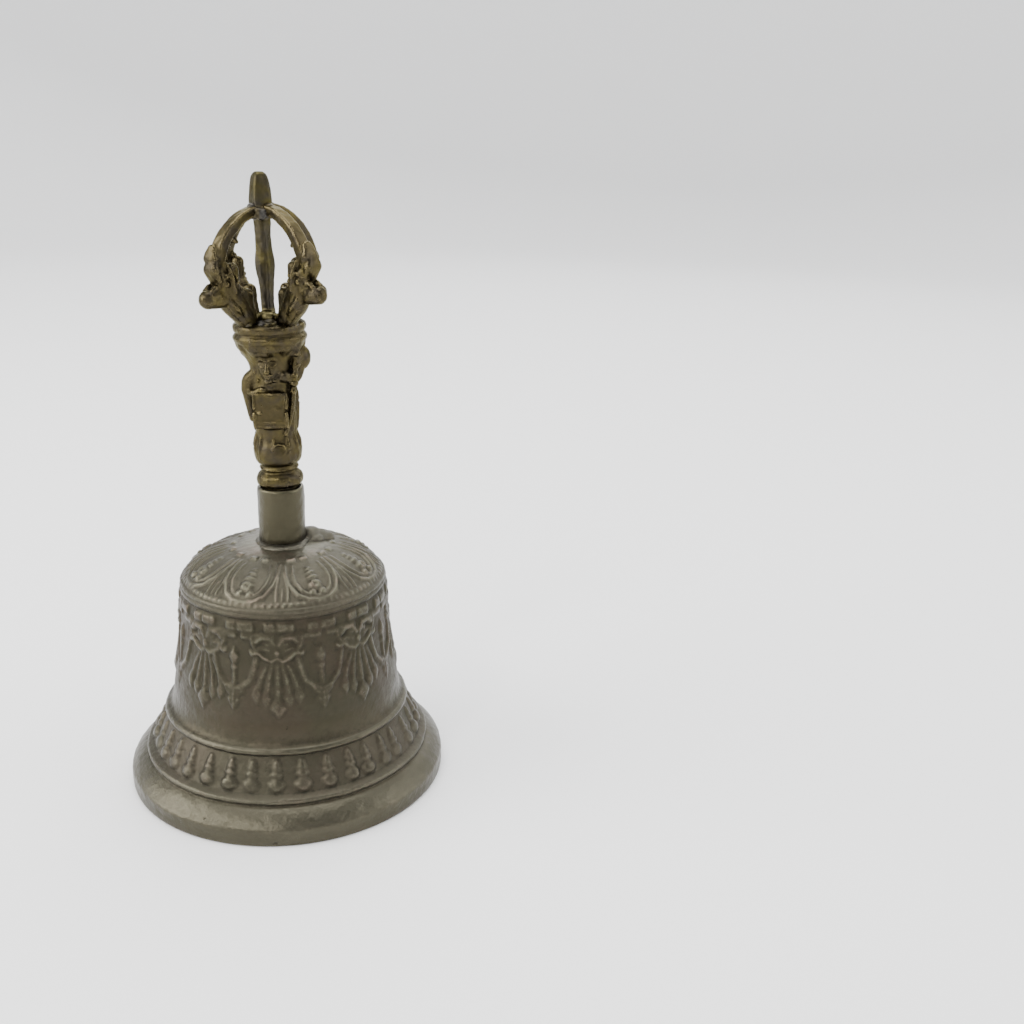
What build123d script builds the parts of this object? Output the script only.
"""A Tibetan hand bell: a cast bronze bell, a brass half-vajra handle, and a clapper on a ring.

Millimetres. +Z is up and the bell stands on its rim, with the origin at the centre of the rim.
The handle leans a little towards -X, because its thread is tapped slightly off its own axis.
"""

from build123d import *
import os
from math import cos, radians, sin

# ---- Driving dimensions -------------------------------------------------------------------
RIM_RADIUS = 43.75  # the bell's lip, outside
CROWN_TOP = 68.0  # top of the crown, where the collar stands
CROWN_INSIDE = 64.6  # underside of the crown, flat where the washer sits
CROWN_HOLE_RADIUS = 2.8

COLLAR_RADIUS = 6.25
COLLAR_BORE = 5.25
COLLAR_TOP = 83.7
BRAZE_RADIUS = 7.3  # the low ring of braze round the collar's foot
BRAZE_HEIGHT = 1.6
LUMP_PLACE = (8.2, 4.8)  # where the braze has run into a lump
LUMP_RADIUS = 3.1
CUT_FLOOR = 50.0  # how far down the braze's underside is cut to the crown's shape

BOLT_RADIUS = 2.5  # threads left plain
THREAD_CLEARANCE = 0.05
BOLT_TOP = 98.0
WASHER_RADIUS = 6.5
WASHER_THICKNESS = 1.2
NUT_FLATS = 8.0
NUT_THICKNESS = 2.7

EYE_RADIUS = 3.5  # to the middle of the eye's wire
EYE_WIRE = 1.2
RING_RADIUS = 3.6
RING_WIRE = 0.9
LOOP_RADIUS = 3.0  # the clapper's own loop
LOOP_WIRE = 1.1
CHAIN_GAP = 0.05  # running clearance where two loops hang in each other

BOB_RADIUS = 6.0
BOB_CENTRE = 12.5  # height of the bob's widest point
BOB_HALF_LENGTH = 6.6
ROD_RADIUS = 1.5
ROD_FOOT_RADIUS = 1.2  # where the rod passes through the bob
RIVET_RADIUS = 2.0
RIVET_HEIGHT = 1.2

# From here on, heights are above the handle's foot and radii are from the handle's own axis.
HANDLE_LEAN = 1.55  # degrees, towards -X
SPIGOT_RADIUS = 4.9
SPIGOT_DEPTH = 5.5
FOOT_GAP = 0.2
DISC_RADIUS = 9.4  # the lotus disc that carries the prongs
DISC_TOP = 43.8
FIGURE_AZIMUTH = -97.0  # the way the cast figure faces
PANEL_SIZE = 8.6  # the square apron on the figure's front
PANEL_THICKNESS = 2.6
PANEL_CENTRE = 21.2
PANEL_FACE = 6.9
STAFF_AZIMUTH = FIGURE_AZIMUTH + 62
STAFF_PLACE = 6.0  # radius to the staff's axis
STAFF_RADIUS = 1.0
STAFF_BOTTOM = 16.5
STAFF_LENGTH = 20.0

PRONGS = {  # azimuth, and how far the bar sags where it meets the others
    "prong_back_right": (53.0, 0.0),
    "prong_back_left": (143.0, 1.2),
    "prong_front_left": (233.0, 0.4),
    "prong_front_right": (323.0, 0.0),
}
BAR_HALF_WIDTH = 1.65
MAKARA_HALF_WIDTH = 2.2
MAKARA_REACH = 17.6  # radius to the makara's forehead
SNOUT_RADIUS = 2.35
TIP_TOP = 80.8  # the centre prong's end

# ---- Worked out from them -----------------------------------------------------------------
washer_bottom = CROWN_INSIDE - WASHER_THICKNESS
nut_bottom = washer_bottom - NUT_THICKNESS
eye_centre = nut_bottom - EYE_WIRE - EYE_RADIUS - 0.3
eye_seat = eye_centre - EYE_RADIUS
ring_centre = eye_seat + EYE_WIRE + RING_WIRE + CHAIN_GAP - RING_RADIUS
ring_seat = ring_centre - RING_RADIUS
loop_centre = ring_seat + RING_WIRE + LOOP_WIRE + CHAIN_GAP - LOOP_RADIUS
rod_top = loop_centre - LOOP_RADIUS
bob_top = BOB_CENTRE + BOB_HALF_LENGTH
bob_bottom = BOB_CENTRE - BOB_HALF_LENGTH

lean = radians(HANDLE_LEAN)
handle_up = Vector(-sin(lean), 0, cos(lean))
handle_right = Vector(cos(lean), 0, sin(lean))
handle_back = Vector(0, 1, 0)
handle_foot = Vector(0, 0, COLLAR_TOP)
handle_axis = Axis(handle_foot, handle_up)


def outwards(azimuth):
    """The direction square to the handle's axis at an azimuth."""
    return handle_right * cos(radians(azimuth)) + handle_back * sin(radians(azimuth))


def handle_level(height):
    """The plane square to the handle's axis at a height."""
    return Plane(origin=handle_foot + handle_up * height, x_dir=handle_right, z_dir=handle_up)


def handle_side(azimuth):
    """The plane that holds the handle's axis: its x runs out along the azimuth, its y up the axis."""
    return Plane(origin=handle_foot, x_dir=outwards(azimuth), z_dir=outwards(azimuth).cross(handle_up))


def handle_point(azimuth, radius, height):
    """A point on the handle."""
    return handle_foot + outwards(azimuth) * radius + handle_up * height


def write(part, name):
    """Names a finished part and writes it as its own STEP file."""
    part.label = name
    export_step(part, f"parts/{name}.step")


os.makedirs("parts", exist_ok=True)

# ---- Bell shell: lip, bead band between two rounded ridges, waist, shoulder and crown -------
FOOT_INSIDE_RADIUS = 40.3
CROWN_CURVE = [(27.1, 58.8), (24.4, 61.5), (18.0, 65.2), (8.0, CROWN_TOP - 0.1)]
with BuildPart() as bell_shell:
    with BuildSketch(Plane.XZ):
        with BuildLine():
            foot = Polyline(
                (FOOT_INSIDE_RADIUS, 0),
                (RIM_RADIUS - 0.6, 0),
                (RIM_RADIUS, 0.7),
                (RIM_RADIUS, 4.6),
            )
            lip = Spline(foot @ 1, (42.2, 6.9), (38.9, 9.3))
            low_ridge = ThreePointArc(lip @ 1, (38.7, 10.8), (37.3, 11.7))
            band = Spline(low_ridge @ 1, (35.5, 15.2), (33.1, 19.9))
            ridge = ThreePointArc(band @ 1, (32.85, 22.1), (31.5, 23.3))
            waist = Spline(ridge @ 1, (30.8, 29.0), (29.1, 39.5), (28.1, 50.0), (27.5, 56.6))
            ThreePointArc(waist @ 1, (27.75, 57.9), CROWN_CURVE[0])
            crown = Spline(*CROWN_CURVE)
            Line(crown @ 1, (CROWN_HOLE_RADIUS, CROWN_TOP))
            Line((CROWN_HOLE_RADIUS, CROWN_TOP), (CROWN_HOLE_RADIUS, CROWN_INSIDE))
            seat = Line((CROWN_HOLE_RADIUS, CROWN_INSIDE), (8.0, CROWN_INSIDE))
            Spline(
                seat @ 1,
                (16.5, 62.4),
                (22.2, 59.2),
                (24.6, 54.5),
                (25.6, 45.0),
                (27.3, 32.0),
                (29.8, 21.0),
                (34.6, 11.8),
                (39.0, 4.6),
                foot @ 0,
            )
        make_face()
    revolve(axis=Axis.Z)
write(bell_shell.part, "bell_shell")

# ---- Collar: a plain turned tube that the handle sits in, brazed to the crown ---------------
with BuildPart() as neck_collar:
    with BuildSketch(Plane.XY.offset(CROWN_TOP)):
        Circle(COLLAR_RADIUS)
        Circle(COLLAR_BORE, mode=Mode.SUBTRACT)
    extrude(amount=COLLAR_TOP - CROWN_TOP)
    chamfer(neck_collar.edges().group_by(Axis.Z)[-1].sort_by(SortBy.RADIUS)[-1], 0.4)
write(neck_collar.part, "neck_collar")

with BuildPart() as collar_braze:
    with BuildSketch(Plane.XY.offset(CROWN_TOP)):
        Circle(BRAZE_RADIUS)
    extrude(amount=BRAZE_HEIGHT, taper=28)
    with Locations((LUMP_PLACE[0], LUMP_PLACE[1], CROWN_TOP)):
        Sphere(LUMP_RADIUS)
    with Locations((0, 0, CROWN_TOP)):
        Cylinder(COLLAR_RADIUS, 4 * BRAZE_HEIGHT, mode=Mode.SUBTRACT)
    # The crown's own shape, filled in below, is cut away from under the braze.
    with BuildSketch(Plane.XZ):
        with BuildLine():
            under = Spline(*CROWN_CURVE)
            Polyline(
                under @ 1,
                (CROWN_HOLE_RADIUS, CROWN_TOP),
                (0, CROWN_TOP),
                (0, CUT_FLOOR),
                (CROWN_CURVE[0][0], CUT_FLOOR),
                under @ 0,
            )
        make_face()
    revolve(axis=Axis.Z, mode=Mode.SUBTRACT)
write(collar_braze.part, "collar_braze")

# ---- Handle casting: rings, vase, draped figure and lotus disc ------------------------------
FOOT_RINGS = [(4.7, 0.3), (5.8, 0.8), (6.1, 2.1), (5.8, 3.3), (4.7, 4.4), (5.1, 5.2), (4.7, 5.9)]
VASE = [(4.7, 5.9), (5.9, 7.4), (6.35, 10.2), (5.4, 13.8)]
TORSO = [(5.4, 13.8), (6.0, 17.5), (6.4, 23.0), (5.9, 28.5)]
NECK = [(5.9, 28.5), (6.3, 32.6), (8.9, 38.4)]
LOBES = [  # azimuth, radius from the axis, height, lobe radius
    (FIGURE_AZIMUTH - 71, 5.7, 26.3, 2.4),  # right elbow
    (FIGURE_AZIMUTH - 44, 5.2, 30.2, 2.2),  # right shoulder
    (FIGURE_AZIMUTH + 109, 7.4, 34.9, 2.7),  # raised left hand
    (FIGURE_AZIMUTH + 50, 5.4, 30.4, 2.2),  # left shoulder
    (FIGURE_AZIMUTH, 3.6, 34.4, 3.9),  # head
]
with BuildPart() as handle_casting:
    with BuildSketch(handle_side(0)):
        with BuildLine():
            Polyline(
                FOOT_RINGS[0],
                (SPIGOT_RADIUS, FOOT_GAP),
                (SPIGOT_RADIUS, -SPIGOT_DEPTH),
                (0, -SPIGOT_DEPTH),
                (0, DISC_TOP),
                (DISC_RADIUS - 0.4, DISC_TOP),
                (DISC_RADIUS - 0.1, DISC_TOP - 1.8),
                (DISC_RADIUS - 0.6, DISC_TOP - 2.6),
                (DISC_RADIUS, DISC_TOP - 3.6),
                NECK[-1],
            )
            for curve in (FOOT_RINGS, VASE, TORSO, NECK):
                Spline(*curve)
        make_face()
    revolve(axis=handle_axis)
    for azimuth, radius, height, lobe in LOBES:
        with Locations(handle_point(azimuth, radius, height)):
            Sphere(lobe)
    # The apron panel on the figure's front, and the staff that the left hand holds.
    with BuildSketch(
        Plane(
            origin=handle_point(FIGURE_AZIMUTH, PANEL_FACE, PANEL_CENTRE),
            x_dir=outwards(FIGURE_AZIMUTH + 90),
            z_dir=outwards(FIGURE_AZIMUTH),
        )
    ):
        Rectangle(PANEL_SIZE, PANEL_SIZE)
    extrude(amount=-PANEL_THICKNESS)
    with BuildSketch(handle_level(STAFF_BOTTOM)):
        with PolarLocations(STAFF_PLACE, 1, start_angle=STAFF_AZIMUTH):
            Circle(STAFF_RADIUS)
    extrude(amount=STAFF_LENGTH)
    # The thread is tapped along the bell's own axis, not the casting's.
    with BuildSketch(Plane.XY.offset(COLLAR_TOP - SPIGOT_DEPTH - 1)):
        Circle(BOLT_RADIUS + THREAD_CLEARANCE)
    extrude(amount=BOLT_TOP - COLLAR_TOP + SPIGOT_DEPTH + 2, mode=Mode.SUBTRACT)
write(handle_casting.part, "handle_casting")

# ---- Prongs: four flat cast bars, each rising from a makara's head with a curled snout -------
BAR_OUTSIDE = [(3.5, 73.0), (9.3, 70.5), (13.8, 66.4), (16.6, 62.4), (MAKARA_REACH, 58.6)]
BAR_INSIDE = [(14.6, 57.4), (13.2, 61.2), (10.2, 65.6), (6.6, 68.9), (3.5, 70.2)]
MAKARA = [
    BAR_OUTSIDE[-1],
    (17.6, 55.0),
    (16.4, 50.4),
    (12.6, 47.3),
    (8.8, DISC_TOP),
    (4.2, DISC_TOP),
    (4.4, 48.5),
    (5.0, 52.4),
    (7.8, 53.4),
    (8.8, 56.0),
    (9.2, 59.2),
    (11.6, 60.0),
    BAR_INSIDE[0],
]
SNOUT = (18.4, 52.1)


def sagged(points, sag):
    """A bar's curve, lowered by the sag on the axis and by nothing at the makara."""
    return [(radius, height - sag * (1 - radius / MAKARA_REACH)) for radius, height in points]


prongs = []
for name, (azimuth, sag) in PRONGS.items():
    side = handle_side(azimuth)
    bar_outside, bar_inside = sagged(BAR_OUTSIDE, sag), sagged(BAR_INSIDE, sag)
    with BuildPart() as prong:
        with BuildSketch(side):
            with BuildLine():
                Spline(*bar_outside)
                Line(bar_outside[-1], bar_inside[0])
                Spline(*bar_inside)
                Line(bar_inside[-1], bar_outside[0])
            make_face()
        extrude(amount=BAR_HALF_WIDTH, both=True)
        with BuildSketch(side):
            with BuildLine():
                Polyline(*MAKARA, close=True)
            make_face()
            with Locations(SNOUT):
                Circle(SNOUT_RADIUS)
        extrude(amount=MAKARA_HALF_WIDTH, both=True)
    write(prong.part, name)
    prongs.append(prong.part)

# ---- Centre prong: a four-sided spindle that ends in the blunt tip ---------------------------
SPINDLE = [  # height, width across the flats
    (DISC_TOP, 2.2),
    (48.5, 2.0),
    (53.0, 2.6),
    (58.3, 3.5),
    (64.0, 3.2),
    (69.5, 3.4),
    (72.8, 5.0),
    (77.5, 4.3),
    (79.6, 3.7),
    (TIP_TOP, 2.4),
]
with BuildPart() as centre_prong:
    for height, width in SPINDLE:
        with BuildSketch(handle_level(height)):
            Rectangle(width, width, rotation=PRONGS["prong_back_right"][0])
    loft(ruled=True)
write(centre_prong.part, "centre_prong")

# ---- Braze where the prongs meet, at the tip and at the root ---------------------------------
TIP_BRAZE = [(0, 69.0), (3.2, 69.4), (4.6, 70.8), (4.2, 72.8), (2.6, 73.9), (0, 74.1)]
ROOT_BRAZE = [
    (0, DISC_TOP),
    (6.6, DISC_TOP),
    (5.4, DISC_TOP + 1.3),
    (2.8, DISC_TOP + 2.4),
    (0, DISC_TOP + 2.6),
]
for name, outline in (("tip_braze", TIP_BRAZE), ("root_braze", ROOT_BRAZE)):
    with BuildPart() as braze:
        with BuildSketch(handle_side(0)):
            with BuildLine():
                Polyline(*outline, close=True)
            make_face()
        revolve(axis=handle_axis)
        add(prongs, mode=Mode.SUBTRACT)
        add(centre_prong.part, mode=Mode.SUBTRACT)
    write(braze.part, name)

# ---- Eye bolt, washer and nut: they hold the handle to the bell ------------------------------
with BuildPart() as eye_bolt:
    with BuildSketch(Plane.XY.offset(eye_centre + EYE_RADIUS)):
        Circle(BOLT_RADIUS)
    extrude(amount=BOLT_TOP - eye_centre - EYE_RADIUS)
    chamfer(eye_bolt.edges().group_by(Axis.Z)[-1], 0.6)
    with Locations(Plane(origin=(0, 0, eye_centre), z_dir=(0, 1, 0))):
        Torus(EYE_RADIUS, EYE_WIRE)
write(eye_bolt.part, "eye_bolt")

with BuildPart() as crown_washer:
    with BuildSketch(Plane.XY.offset(washer_bottom)):
        Circle(WASHER_RADIUS)
        Circle(BOLT_RADIUS + 0.25, mode=Mode.SUBTRACT)
    extrude(amount=WASHER_THICKNESS)
write(crown_washer.part, "crown_washer")

with BuildPart() as crown_nut:
    with BuildSketch(Plane.XY.offset(nut_bottom)):
        RegularPolygon(NUT_FLATS / 2, 6, major_radius=False)
        Circle(BOLT_RADIUS + THREAD_CLEARANCE, mode=Mode.SUBTRACT)
    extrude(amount=NUT_THICKNESS)
write(crown_nut.part, "crown_nut")

# ---- Clapper: a ring in the eye, and a rod with a riveted bob on the ring --------------------
with BuildPart() as clapper_ring:
    with Locations(Plane(origin=(0, 0, ring_centre), z_dir=(1, 0, 0))):
        Torus(RING_RADIUS, RING_WIRE)
write(clapper_ring.part, "clapper_ring")

with BuildPart() as clapper_rod:
    with Locations(Plane(origin=(0, 0, loop_centre), z_dir=(0, 1, 0))):
        Torus(LOOP_RADIUS, LOOP_WIRE)
    with BuildSketch(Plane.XZ):
        with BuildLine():
            Polyline(
                (0, rod_top + 0.4),
                (ROD_RADIUS * 0.8, rod_top + 0.4),
                (ROD_RADIUS, (rod_top + bob_top) / 2),
                (ROD_RADIUS * 1.4, bob_top + 0.4),
                (ROD_RADIUS * 1.4, bob_top),
                (ROD_FOOT_RADIUS, bob_top),
                (ROD_FOOT_RADIUS, bob_bottom),
                (RIVET_RADIUS, bob_bottom),
                (RIVET_RADIUS * 0.6, bob_bottom - RIVET_HEIGHT),
                (0, bob_bottom - RIVET_HEIGHT),
                close=True,
            )
        make_face()
    revolve(axis=Axis.Z)
write(clapper_rod.part, "clapper_rod")

with BuildPart() as clapper_bob:
    with BuildSketch(Plane.XZ):
        with BuildLine():
            belly = Spline(
                (2.6, bob_bottom),
                (5.2, BOB_CENTRE - 3.6),
                (BOB_RADIUS, BOB_CENTRE),
                (5.0, BOB_CENTRE + 3.6),
                (2.6, bob_top),
            )
            Polyline(belly @ 1, (ROD_FOOT_RADIUS, bob_top), (ROD_FOOT_RADIUS, bob_bottom), belly @ 0)
        make_face()
    revolve(axis=Axis.Z)
write(clapper_bob.part, "clapper_bob")
